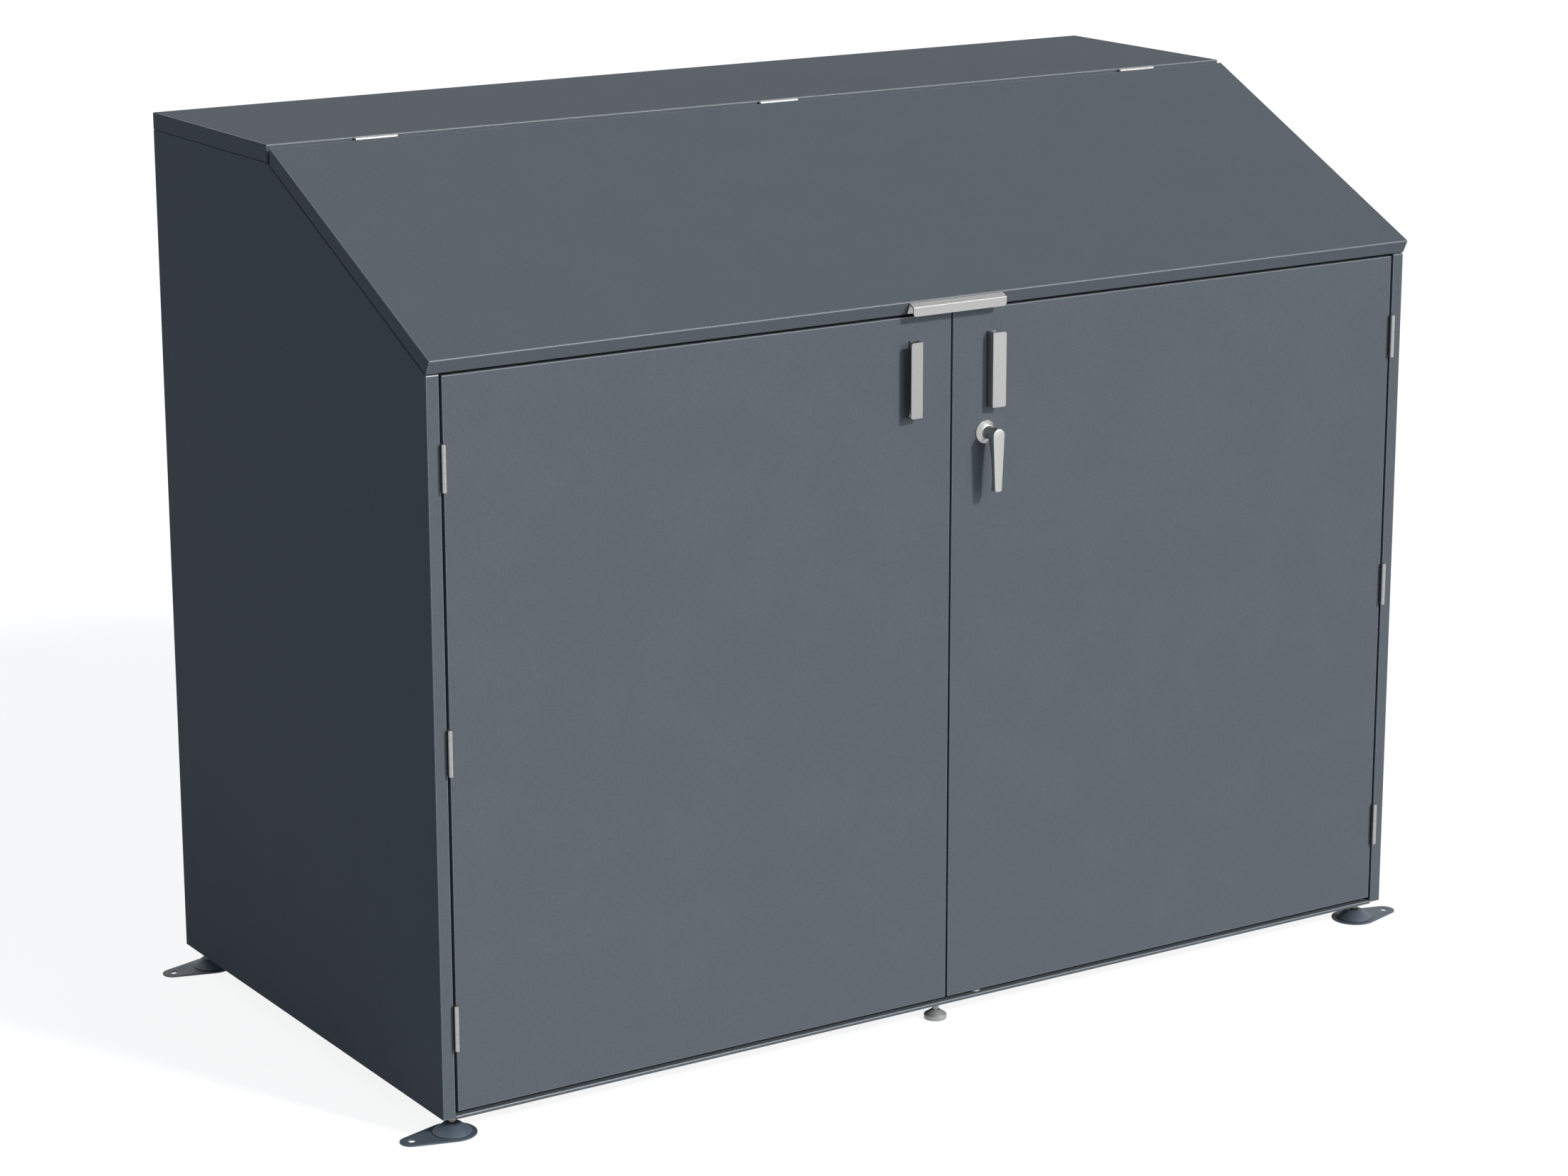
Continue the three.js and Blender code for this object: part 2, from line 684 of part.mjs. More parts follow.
function lockRods() {
  const upper = piece('upper_rod', rackedRod(doorTopZ + rodTipTop - lockZ), zincPlate());
  upper.position.set(lockX, 0, lockZ);
  const lowerTip = sillTopZ + seatGap + bushHeight + rodTipFloor;
  const lower = piece('lower_rod', rackedRod(lockZ - lowerTip), zincPlate());
  lower.position.set(lockX, 0, lockZ);
  lower.geometry.rotateY(Math.PI);
  return [upper, lower];
}

// Gas struts between the side walls and the lid

const strutInset = 40;
const strutX = halfWidth - strutInset;
const strutFootInset = 4;
const strutFootDrop = 311;
const strutLidReach = 130;
const strutLidDrop = 30;
const strutTube = 9;
const strutRod = 4;
const strutEye = 7.5;
const strutEyeHalf = 6;
const strutStud = 4;
const strutTubeEnd = 26;
const strutRodTail = 55;
const strutTubeFloor = 48;
const bracketSheet = 3;
const bracketHalf = 22;
const bracketHeight = 60;
const bracketWing = 24;
const studEnd = 2;
const strutFoot = vec(lidHingeY - strutFootInset, lidHingeZ - strutFootDrop);
const strutHead = lidPoint(lidLength - strutLidReach, strutLidDrop);
const strutLine = strutHead.clone().sub(strutFoot);
const strutLength = strutLine.length();
const strutTilt = strutLine.angle() - Math.PI / 2;

function strutPieces(side) {
  const label = side < 0 ? 'left' : 'right';
  const eye = (z) => bar('x', strutEye, -strutEyeHalf, strutEyeHalf, 0, z);
  const cutTop = strutEye + strutTube / 2;
  const flat = (from, to) => block(from, to, -strutTube, strutTube, -strutEye, cutTop);
  const tubeTop = strutLength - strutTubeEnd;
  const tube = bar('z', strutTube, strutEye / 2, tubeTop).add(eye(0));
  const studHole = bar('x', strutStud + pinGap, -strutTube - overrun, strutTube + overrun, 0, 0, pinSides);
  const flats = flat(strutEyeHalf, strutTube + overrun).add(flat(-strutTube - overrun, -strutEyeHalf));
  const bore = bar('z', strutRod + pinGap, strutTubeFloor, tubeTop + overrun, 0, 0, pinSides);
  const cylinder = tube.subtract(studHole).subtract(flats).subtract(bore);
  const rod = bar('z', strutRod, strutRodTail, strutLength, 0, 0, pinSides).add(eye(strutLength));
  const group = new THREE.Group();
  group.add(piece(`${label}_strut_cylinder`, cylinder, blackPaint()));
  group.add(piece(`${label}_strut_rod`, rod, stainless()));
  group.position.set(side * strutX, strutFoot.x, strutFoot.y);
  group.rotation.x = strutTilt;
  return group;
}

function wallBracket(side) {
  const label = side < 0 ? 'left' : 'right';
  const plateTo = innerWallX - seatGap;
  const plate = block(
    plateTo - bracketSheet, plateTo,
    strutFoot.x - bracketHalf, strutFoot.x + bracketHalf,
    strutFoot.y - bracketHeight / 2, strutFoot.y + bracketHeight / 2,
  );
  const studFrom = strutX - strutEyeHalf - studEnd;
  const stud = bar('x', strutStud, studFrom, plateTo, strutFoot.x, strutFoot.y, pinSides);
  const mesh = piece(`${label}_strut_wall_bracket`, plate.add(stud), zincPlate());
  if (side < 0) mirrorAcrossX(mesh.geometry);
  return mesh;
}

function lidBracket(side) {
  const label = side < 0 ? 'left' : 'right';
  const top = panelSheet + seatGap;
  const at = lidLength - strutLidReach;
  const wingFrom = at - bracketHalf;
  const wingTo = at + bracketHalf;
  const tip = strutLidDrop + strutEye;
  const cheekOutline = [
    lidPoint(wingFrom, top),
    lidPoint(at - strutEye, tip),
    lidPoint(at + strutEye, tip),
    lidPoint(wingTo, top),
  ];
  const cheekFrom = strutX + strutEyeHalf + seatGap;
  const cheek = prism('x', cheekOutline, cheekFrom, cheekFrom + bracketSheet);
  const wingOutline = [
    lidPoint(wingFrom, top),
    lidPoint(wingFrom, top + bracketSheet),
    lidPoint(wingTo, top + bracketSheet),
    lidPoint(wingTo, top),
  ];
  const wing = prism('x', wingOutline, cheekFrom + bracketSheet - bracketWing, cheekFrom + bracketSheet);
  const mesh = piece(`${label}_strut_lid_bracket`, cheek.add(wing), zincPlate());
  if (side < 0) mirrorAcrossX(mesh.geometry);
  return mesh;
}

// Feet

const lugSheet = 2.5;
const lugRadius = 41.5;
const lugReach = 74.7;
const lugTip = 20.2;
const lugHole = 6;
const padRadius = 33.2;
const padRim = 1.5;
const padTop = 12;
const padHeight = 15;
const socketRadius = 6.6;
const socketFloor = 4;
const spindleFoot = 5.9;
const hexFlats = 14;
const hexHeight = 15;
const spindleTop = 26;
const plainRadius = 20.2;
const plainRim = 8.8;
const plainTop = 8;
const plainHeight = 16.5;
const plainSocket = 6.9;
const plainSocketFloor = 9;
const plainHex = 11;
const chamfer = 1;

// The pear-shaped fixing plate: a large circle round the foot and a small one round the bolt hole.
function lugOutline() {
  const tangent = Math.acos((lugRadius - lugTip) / lugReach);
  const shape = new THREE.Shape();
  shape.absarc(0, 0, lugRadius, tangent, 2 * Math.PI - tangent);
  shape.absarc(lugReach, 0, lugTip, -tangent, tangent);
  shape.holes.push(new THREE.Path().absarc(lugReach, 0, lugHole, 0, 2 * Math.PI, true));
  return shape;
}

function cornerPad(name, sideX, y) {
  const profile = [
    vec(0, lugSheet - chamfer),
    vec(padRadius, lugSheet - chamfer),
    vec(padRadius, lugSheet + padRim),
    vec(padTop, padHeight),
    vec(0, padHeight),
  ];
  const cone = turned(profile).rotate([90, 0, 0]);
  const lug = prism('z', lugOutline(), 0, lugSheet);
  const socket = bar('z', socketRadius, socketFloor, padHeight + overrun, 0, 0, pinSides);
  const mesh = piece(name, cone.add(lug).subtract(socket), slatePaint());
  mesh.position.set(sideX * cornerFootX, y, -groundClearance);
  if (sideX < 0) mesh.rotation.z = Math.PI;
  return mesh;
}

function cornerSpindle(name, sideX, y) {
  const hexRadius = hexFlats / Math.sqrt(3);
  const foot = bar('z', spindleFoot, socketFloor + seatGap, padHeight + hexHeight, 0, 0, pinSides);
  const hex = bar('z', hexRadius, padHeight + seatGap, padHeight + hexHeight, 0, 0, hexSides);
  const thread = bar('z', spindleRadius, padHeight, groundClearance + spindleTop, 0, 0, pinSides);
  const mesh = piece(name, foot.add(hex).add(thread), zincPlate());
  mesh.position.set(sideX * cornerFootX, y, -groundClearance);
  return mesh;
}

function middleFoot(name, y) {
  const profile = [
    vec(0, 0),
    vec(plainRadius - chamfer, 0),
    vec(plainRadius, chamfer),
    vec(plainRadius, plainRim),
    vec(plainTop, plainHeight),
    vec(0, plainHeight),
  ];
  const cone = turned(profile).rotate([90, 0, 0]);
  const socket = bar('z', plainSocket, plainSocketFloor, plainHeight + overrun, 0, 0, pinSides);
  const hexRadius = plainHex / Math.sqrt(3);
  const hex = bar('z', hexRadius, plainSocketFloor - chamfer, padHeight + hexHeight, 0, 0, hexSides);
  const thread = bar('z', spindleRadius, padHeight, groundClearance + spindleTop, 0, 0, pinSides);
  const mesh = piece(name, cone.subtract(socket).add(hex).add(thread), stainless());
  mesh.position.set(0, y, -groundClearance);
  return mesh;
}

function feet() {
  const rows = [['front', footInset], ['rear', rearFootY]];
  return rows.flatMap(([row, y]) => [
    cornerPad(`${row}_left_foot_pad`, -1, y),
    cornerSpindle(`${row}_left_foot_spindle`, -1, y),
    middleFoot(`${row}_middle_foot`, y),
    cornerPad(`${row}_right_foot_pad`, 1, y),
    cornerSpindle(`${row}_right_foot_spindle`, 1, y),
  ]);
}

// Assembly

function groupOf(...members) {
  const group = new THREE.Group();
  group.add(...members);
  return group;
}

const cabinet = groupOf(
  sidePanel('left_side_panel', -1),
  sidePanel('right_side_panel', 1),
  backPanel(),
  floorPanel(),
  frontSill(),
  sillBush(),
  roofCap(),
  wallBracket(-1),
  wallBracket(1),
);
const lid = groupOf(lidPanel(), lidChannel(), lidKeeper(), lidHandle(), lidBracket(-1), lidBracket(1));
const leftDoor = groupOf(
  doorPanel('left_door_panel', -1),
  doorChannel('left_door_stiffener', -1),
  doorHandle('left_door_handle', -1),
);
const rightDoor = groupOf(
  doorPanel('right_door_panel', 1),
  doorChannel('right_door_stiffener', 1),
  doorHandle('right_door_handle', 1),
  lockRosette(),
);
const lock = groupOf(lockLever(), lockPinion(), lockCam(), ...lockRods());
const hinges = groupOf(...doorHinges(-1), ...doorHinges(1), ...lidHinges());
const struts = groupOf(strutPieces(-1), strutPieces(1));

const locker = groupOf(cabinet, lid, leftDoor, rightDoor, lock, hinges, struts, ...feet());

// The origin is the middle of the footprint, on the ground.
locker.updateMatrixWorld(true);
const extent = new THREE.Box3().setFromObject(locker, true);
const middle = extent.getCenter(new THREE.Vector3());
locker.position.set(-middle.x, -middle.y, -extent.min.z);

export default locker;
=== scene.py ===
from math import cos, pi, radians

import bmesh
import bpy
from mathutils import Euler, Matrix, Vector
from mathutils.bvhtree import BVHTree


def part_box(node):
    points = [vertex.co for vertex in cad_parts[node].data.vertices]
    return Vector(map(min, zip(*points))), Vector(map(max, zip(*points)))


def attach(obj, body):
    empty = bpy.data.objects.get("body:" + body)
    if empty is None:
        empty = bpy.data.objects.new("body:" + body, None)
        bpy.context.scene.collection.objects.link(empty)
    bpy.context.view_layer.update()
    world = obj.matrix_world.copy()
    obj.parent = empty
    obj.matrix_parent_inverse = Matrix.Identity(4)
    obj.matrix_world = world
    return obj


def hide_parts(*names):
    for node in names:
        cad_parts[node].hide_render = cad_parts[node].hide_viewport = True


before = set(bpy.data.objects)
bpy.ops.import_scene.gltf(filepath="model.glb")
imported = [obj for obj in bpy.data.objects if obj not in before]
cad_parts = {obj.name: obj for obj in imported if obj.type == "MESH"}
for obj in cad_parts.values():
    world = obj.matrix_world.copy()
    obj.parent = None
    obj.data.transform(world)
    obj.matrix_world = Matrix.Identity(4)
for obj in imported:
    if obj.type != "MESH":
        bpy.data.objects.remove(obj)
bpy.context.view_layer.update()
print("frame loaded:", len(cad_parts), "nodes")

# Drawing numbers are millimetres: x from the middle of the front, y from the front face towards
# the rear, z from the lower edge of the walls.
mm = 0.001
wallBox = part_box("left_side_panel")
drawingOrigin = Vector((0, wallBox[0].y, wallBox[0].z))
toRow = Matrix.Translation(drawingOrigin) @ Matrix.Scale(mm, 4)
toDrawing = toRow.inverted()


class Wire:  # an output socket that can be used in sums
    def __init__(self, graph, socket):
        self.graph = graph
        self.socket = socket

    def maths(self, operation, first, second):
        return self.graph.add("ShaderNodeMath", {"operation": operation}, {0: first, 1: second})

    def __add__(self, other):
        return self.maths("ADD", self, other)

    def __radd__(self, other):
        return self.maths("ADD", other, self)

    def __sub__(self, other):
        return self.maths("SUBTRACT", self, other)

    def __rsub__(self, other):
        return self.maths("SUBTRACT", other, self)

    def __mul__(self, other):
        return self.maths("MULTIPLY", self, other)

    def __rmul__(self, other):
        return self.maths("MULTIPLY", other, self)


class Graph:  # one node tree, emptied and filled again
    def __init__(self, owner):
        owner.use_nodes = True
        self.tree = owner.node_tree
        self.tree.nodes.clear()

    def add(self, kind, settings=None, sockets=None, out=0):
        made = self.tree.nodes.new(kind)
        for key, value in (settings or {}).items():
            setattr(made, key, value)
        for key, value in (sockets or {}).items():
            if isinstance(value, Wire):
                self.tree.links.new(value.socket, made.inputs[key])
            else:
                made.inputs[key].default_value = value
        return Wire(self, made.outputs[out]) if made.outputs else None

    def place(self):  # where a point lies on its own piece, in metres
        return self.add("ShaderNodeTexCoord", out="Object")

    def noise(self, coords, scale, detail):
        sockets = {"Vector": coords, "Scale": scale, "Detail": detail, "Roughness": 0.5}
        return self.add("ShaderNodeTexNoise", {"noise_dimensions": "3D"}, sockets)

    def blend(self, factor, dark, pale):  # sockets 6 and 7 and output 2 are the mix node's colours
        sockets = {"Factor": factor, 6: (*dark, 1), 7: (*pale, 1)}
        return self.add("ShaderNodeMix", {"data_type": "RGBA"}, sockets, out=2)

    def bump(self, height, distance):
        sockets = {"Height": height, "Distance": distance, "Strength": 1.0}
        return self.add("ShaderNodeBump", {}, sockets)

    def surface(self, shader):
        self.add("ShaderNodeOutputMaterial", {}, {"Surface": shader})


def shades(spec):  # the darkest and the palest tone of a finish
    dark = tuple(channel * (1 - spec["swing"]) for channel in spec["colour"])
    pale = tuple(channel * (1 + spec["swing"]) for channel in spec["colour"])
    return dark, pale


def roughness(tone, spec):  # swings about the middle value
    return tone * spec["roughnessSwing"] + (spec["roughness"] - spec["roughnessSwing"] / 2)


powderCoat = {
    "colour": (0.132, 0.150, 0.168),
    "swing": 0.2,  # how much lighter and darker the speckle is
    "cloudShare": 0.2,  # the part of the speckle that goes to broad soft patches
    "cloudScale": 9,
    "grainScale": 460,
    "peelScale": 200,
    "peelShare": 0.6,  # the part of the relief that is orange peel, the rest is grain
    "roughness": 0.58,
    "roughnessSwing": 0.1,
    "grainDepth": 0.00012,  # metres
    "specular": 0.02,
}
# edge coat: a painted highlight, a lighter and glossier copy of the slate for the folds
paintedHighlightCoat = {**powderCoat, "colour": (0.15, 0.17, 0.19), "roughness": 0.27, "grainDepth": 0.00001,
            "specular": 0.95}  # lighter and glossier than the slate, and laid only on folds that run from left to right: a painted highlight along those folds
# the cabinet's slate coat made darker and bluer for the shade and blue ambient light at the feet:
# painted shade
paintedShadeFootCoat = {**powderCoat, "colour": (0.088, 0.116, 0.148), "roughness": 0.55, "specular": 0.8,
            "grainDepth": 0.00006}
darkCoat = {**powderCoat, "colour": (0.018, 0.019, 0.021), "roughness": 0.34, "grainDepth": 0.00001,
            "specular": 0.5}


def makePowderCoat(name, spec):
    finish = bpy.data.materials.new(name)
    graph = Graph(finish)
    coords = graph.place()
    cloud = graph.noise(coords, spec["cloudScale"], 3)
    grain = graph.noise(coords, spec["grainScale"], 1)
    peel = graph.noise(coords, spec["peelScale"], 2)
    tone = cloud * spec["cloudShare"] + grain * (1 - spec["cloudShare"])
    height = peel * spec["peelShare"] + grain * (1 - spec["peelShare"])
    graph.surface(graph.add("ShaderNodeBsdfPrincipled", {}, {
        "Base Color": graph.blend(tone, *shades(spec)),
        "Roughness": roughness(peel, spec),
        "Normal": graph.bump(height, spec["grainDepth"]),
        "Specular IOR Level": spec["specular"],
    }))
    return finish


satinSteel = {
    "colour": (0.39, 0.39, 0.385),
    "swing": 0.24,
    "grainScale": 1000,
    "grainShare": 0.6,  # the rest of the tone is patches
    "patchScale": 560,
    "roughness": 0.32,
    "roughnessSwing": 0.1,
    "grainDepth": 0.00003,
    "metallic": 1.0,
}
lockSteel = {**satinSteel, "colour": (0.47, 0.47, 0.465)}
# darker steel for the hinge leaves and webs, standing for the shade in the door gap: painted shade
paintedShadeLeafSteel = {**satinSteel, "colour": (0.1, 0.1, 0.099), "roughness": 0.5, "metallic": 0.7}
footSteel = {**satinSteel, "colour": (0.41, 0.41, 0.405), "roughness": 0.5, "metallic": 0.4}
zincSteel = {**satinSteel, "colour": (0.215, 0.208, 0.196), "swing": 0.3, "grainScale": 260,
             "patchScale": 90, "roughness": 0.36, "roughnessSwing": 0.2}
chromeSteel = {**satinSteel, "colour": (0.72, 0.73, 0.74), "swing": 0.02, "roughness": 0.14,
               "roughnessSwing": 0.06, "grainDepth": 0.000004}


def makeSteel(name, spec):
    finish = bpy.data.materials.new(name)
    graph = Graph(finish)
    coords = graph.place()
    grain = graph.noise(coords, spec["grainScale"], 2)
    patch = graph.noise(coords, spec["patchScale"], 3)
    tone = grain * spec["grainShare"] + patch * (1 - spec["grainShare"])
    graph.surface(graph.add("ShaderNodeBsdfPrincipled", {}, {
        "Base Color": graph.blend(tone, *shades(spec)),
        "Roughness": roughness(tone, spec),
        "Normal": graph.bump(tone, spec["grainDepth"]),
        "Metallic": spec["metallic"],
    }))
    return finish


finishes = {  # finish -> (material, the record's slot)
    "slate": (makePowderCoat("slatePowderCoat", powderCoat), "slate_powder_coat"),
    # the feet's coat is the painted-shade copy of the slate
    "footSlate": (makePowderCoat("slateFootCoatPaintedShade", paintedShadeFootCoat), "slate_powder_coat"),
    "steel": (makeSteel("satinStainless", satinSteel), "stainless_steel"),
    "hingeSteel": (makeSteel("barrelStainless", satinSteel), "stainless_steel"),
    "lockSteel": (makeSteel("castStainless", lockSteel), "stainless_steel"),
    "footSteel": (makeSteel("turnedStainless", footSteel), "stainless_steel"),
    "zinc": (makeSteel("zincPlate", zincSteel), "zinc_plate"),
    "chrome": (makeSteel("groundRod", chromeSteel), "stainless_steel"),
    "enamel": (makePowderCoat("blackEnamel", darkCoat), "black_paint"),
}
secondFinishes = {  # finish -> the material for faces that are marked 1: the painted highlight on slate folds, the painted shade on hinge leaves and webs
    "slate": makePowderCoat("slatePowderCoatPaintedHighlight", paintedHighlightCoat),
    "hingeSteel": makeSteel("leafStainlessPaintedShade", paintedShadeLeafSteel),
}
print("finishes made:", len(finishes) + len(secondFinishes))


# The mesh helpers work in drawing millimetres; newPiece turns them into metres.

lieAlong = Matrix(((1, 0, 0, 0), (0, 0, 1, 0), (0, -1, 0, 0), (0, 0, 0, 1)))  # turns Z to +Y
facets = {"screw": 24, "bar": 32, "tube": 40, "shaft": 48, "outline": 64, "disc": 72, "plate": 96}
cornerAngle = 50  # degrees: what counts as a corner on turned and cut parts


def camelName(node):
    first, *rest = node.split("_")
    return first + "".join(word.capitalize() for word in rest)


def newPiece(node, bm, body, finish, smooth=None):  # takes the place of one CAD node
    name = camelName(node)
    bmesh.ops.transform(bm, matrix=toRow, verts=bm.verts)
    mesh = bpy.data.meshes.new(name)
    bm.to_mesh(mesh)
    bm.free()
    if smooth:
        mesh.polygons.foreach_set("use_smooth", [True] * len(mesh.polygons))
        mesh.set_sharp_from_angle(angle=radians(smooth))
    material, slotName = finishes[finish]
    mesh.materials.append(material)
    if finish in secondFinishes:
        mesh.materials.append(secondFinishes[finish])
    piece = bpy.data.objects.new(name, mesh)
    bpy.context.scene.collection.objects.link(piece)
    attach(piece, body)
    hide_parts(node)


def bevelEdges(bm, edges, width, segments):
    if not edges:
        return []
    return bmesh.ops.bevel(bm, geom=edges, offset=width, offset_type="OFFSET", segments=segments,
                           profile=0.5, affect="EDGES", clamp_overlap=True, material=-1)["faces"]


def sharpEdges(bm, least, convex=True):  # edges that turn by at least so many degrees
    found = []
    for edge in bm.edges:
        if len(edge.link_faces) == 2 and edge.is_convex == convex:
            if edge.calc_face_angle() > radians(least):
                found.append(edge)
    return found


def shift(bm, *way):
    bmesh.ops.translate(bm, vec=way, verts=bm.verts)


def turnBy(bm, angle, axis):  # about the origin
    bmesh.ops.rotate(bm, cent=(0, 0, 0), matrix=Matrix.Rotation(angle, 3, axis), verts=bm.verts)


def moveBy(bm, matrix):  # a mirroring matrix also needs the faces reversed
    bmesh.ops.transform(bm, matrix=matrix, verts=bm.verts)
    if matrix.determinant() < 0:
        bmesh.ops.reverse_faces(bm, faces=bm.faces)


def addTo(bm, part, matrix=None):  # pours one bmesh into another
    if matrix is not None:
        moveBy(part, matrix)
    store = bpy.data.meshes.new("store")
    part.to_mesh(store)
    part.free()
    bm.from_mesh(store)
    bpy.data.meshes.remove(store)


def turned(profile, steps):  # a (radius, height) line spun round Z
    bm = bmesh.new()
    points = [bm.verts.new((radius, 0, height)) for radius, height in profile]
    lines = [bm.edges.new(pair) for pair in zip(points, points[1:])]
    bmesh.ops.spin(bm, geom=points + lines, cent=(0, 0, 0), axis=(0, 0, 1), dvec=(0, 0, 0),
                   angle=2 * pi, steps=steps, use_merge=True, use_duplicate=False)
    bmesh.ops.remove_doubles(bm, verts=bm.verts, dist=0.001)
    bmesh.ops.recalc_face_normals(bm, faces=bm.faces)
    return bm


def slab(low, high, edge):  # a block with eased edges
    bm = bmesh.new()
    bmesh.ops.create_cube(bm, size=1)
    bmesh.ops.scale(bm, vec=Vector(high) - Vector(low), verts=bm.verts)
    middle = (Vector(low) + Vector(high)) / 2
    shift(bm, *middle)
    bevelEdges(bm, list(bm.edges), edge, 2)
    return bm


def hexBar(flats, low, high, endEdge, longEdge):  # a hexagon bar along Z, its ends eased more
    bm = bmesh.new()
    sides = 6
    radius = flats / 2 / cos(pi / sides)
    bmesh.ops.create_cone(bm, cap_ends=True, segments=sides, radius1=radius, radius2=radius,
                          depth=high - low)
    shift(bm, 0, 0, (low + high) / 2)
    rims = [e for e in bm.edges if abs(e.verts[0].co.z - e.verts[1].co.z) < 0.01]
    bevelEdges(bm, rims, endEdge, 2)
    bevelEdges(bm, sharpEdges(bm, cornerAngle), longEdge, 2)
    return bm


def hullOutline(circles, segments):  # the line round several circles (x, y, radius), in XY
    bm = bmesh.new()
    bmesh.ops.create_circle(bm, cap_ends=True, segments=segments, radius=1)
    turnBy(bm, pi / segments, "Z")
    for vert in bm.verts:
        facing = Vector((vert.co.x, vert.co.y)).normalized()
        x, y, radius = max(circles, key=lambda c: facing.x * c[0] + facing.y * c[1] + c[2])
        vert.co = (x + facing.x * radius, y + facing.y * radius, 0)
    return bm


dressing = {  # how a CAD node's copy is treated, in millimetres and degrees
    "merge": 0.005,
    "flat": 0.6,  # faces that meet flatter than this are joined
    "foldAngle": 20,
    "foldLength": 9,  # shorter edges belong to nuts
    "foldReach": 4,  # behind a fold both faces go on at least so far, behind a cut rim one doesn't
    "foldSegments": 4,
    "rayDepth": 0.12,  # the rays that measure it start so far under the corner
    # folds that run this close to left-right get the painted highlight coat
    "levelLimit": 0.25,
    "innerAngle": 50,
    "innerSegments": 3,
    "rimAngle": 44,
    "rimSegments": 2,
}


def copyNode(node):  # a CAD node's mesh in drawing millimetres, merged and with its flats joined up
    bm = bmesh.new()
    bm.from_mesh(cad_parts[node].data)
    bmesh.ops.transform(bm, matrix=toDrawing, verts=bm.verts)
    bmesh.ops.remove_doubles(bm, verts=bm.verts, dist=dressing["merge"])
    flat = radians(dressing["flat"])
    bmesh.ops.dissolve_limit(bm, angle_limit=flat, verts=bm.verts, edges=bm.edges)
    return bm


def wideEdges(bm, edges, least):  # those edges whose two walls both go on for more than least
    tree = BVHTree.FromBMesh(bm)
    found = []
    for edge in edges:
        middle = (edge.verts[0].co + edge.verts[1].co) / 2
        along = (edge.verts[1].co - edge.verts[0].co).normalized()
        inward = []
        for face in edge.link_faces:
            side = face.normal.cross(along)
            if (face.calc_center_median() - middle).dot(side) < 0:
                side.negate()
            inward.append((side, face.normal.copy()))
        start = middle - (inward[0][1] + inward[1][1]) * dressing["rayDepth"]
        reaches = []
        for side, normal in inward:
            distance = tree.ray_cast(start, side)[3]
            reaches.append(least + 1 if distance is None else distance)
        if min(reaches) > least:
            found.append(edge)
    return found


def dressed(node, body, finish, fold=0, inner=0, rim=0.3, smooth=None):
    d = dressing
    bm = copyNode(node)
    if fold:
        wide = wideEdges(bm, sharpEdges(bm, d["foldAngle"]), d["foldReach"])
        folds = [e for e in wide if e.calc_length() > d["foldLength"]]
        for face in bevelEdges(bm, folds, fold, d["foldSegments"]):
            face.normal_update()
            level = abs(face.normal.x) < d["levelLimit"]  # a fold that runs from left to right; only these take the lighter edge coat, a painted highlight
            face.material_index = 1 if finish == "slate" and level else 0
    if inner:
        bevelEdges(bm, sharpEdges(bm, d["innerAngle"], convex=False), inner, d["innerSegments"])
    bevelEdges(bm, sharpEdges(bm, d["rimAngle"]), rim, d["rimSegments"])
    newPiece(node, bm, body, finish, smooth)


sheets = {  # CAD node: body, outer fold radius
    "left_side_panel": ("cabinet", 1.8),
    "right_side_panel": ("cabinet", 1.8),
    "back_panel": ("cabinet", 1.8),
    "floor_panel": ("cabinet", 0),
    "front_sill": ("cabinet", 2.2),
    "roof_cap": ("cabinet", 1.8),
    "lid_panel": ("lid", 1.8),
    "lid_stiffener": ("lid", 1.6),
    "left_door_panel": ("left_door", 1.5),
    "right_door_panel": ("right_door", 1.5),
    "left_door_stiffener": ("left_door", 1.6),
    "right_door_stiffener": ("right_door", 1.6),
}
for node, (body, fold) in sheets.items():
    dressed(node, body, "slate", fold)
print("sheet pieces dressed:", len(sheets))

pull = {"fold": 0.9, "inner": 0.3, "rim": 0.35}
for body in ("left_door", "right_door", "lid"):
    dressed(f"{body}_handle", body, "steel", **pull)

smallParts = {  # CAD node: body
    "lid_keeper": "lid",
    "left_strut_lid_bracket": "lid",
    "right_strut_lid_bracket": "lid",
    "left_strut_wall_bracket": "cabinet",
    "right_strut_wall_bracket": "cabinet",
    "lock_pinion": "lock_spindle",
    "lock_cam": "lock_spindle",
    "upper_rod": "upper_rod",
    "lower_rod": "lower_rod",
}
for node, body in smallParts.items():
    dressed(node, body, "zinc", smooth=32)
print("handles, brackets and lock parts dressed")


hinge = {
    "radius": 4.1,
    "length": 78,
    "knuckles": 5,
    "split": 0.14,  # between two knuckles
    "gap": 0.4,  # between the barrel and the leaf that it lies in front of
    "pin": 2.4,
    "pinPlay": 0.3,
    "pinShort": 2,  # at either end
    "pinHead": 3.1,
    "pinHeadRise": 0.8,
    "pinHeadSunk": 0.5,
    "chamfer": 0.18,
    "leaf": 1.5,
    "leafPlay": 0.3,
    "leafEdge": 0.3,
    "lap": 1.2,  # of the leaf over the webs that lead to the knuckles
    "webEdge": 0.2,
    "screwRadius": 3.2,
    "screwRise": 0.5,
    "screwSunk": 0.2,
    "screwLevels": (-26, 0, 26),
}


def knuckle(low, high, bore):
    r, c = hinge["radius"], hinge["chamfer"]
    outside = [(r - c, low), (r, low + c), (r, high - c), (r - c, high)]
    return turned([(bore, low), *outside, (bore, high), (bore, low)], facets["bar"])


def screwHead(radius, rise):  # a button head with a round recess, its seat at z = 0
    recess, floor, sunk = radius * 0.42, rise * 0.35, -hinge["screwSunk"]
    dome = [(radius * 0.62, rise * 0.96), (radius * 0.86, rise * 0.66), (radius, rise * 0.15)]
    profile = [(0, floor), (recess, floor), (recess, rise), *dome, (radius, sunk), (0, sunk)]
    return turned(profile, facets["screw"])


def markedSecond(bm):  # its faces take the finish's second material; on the hinges that is the darker leaf steel, a painted shade
    for face in bm.faces:
        face.material_index = 1
    return bm


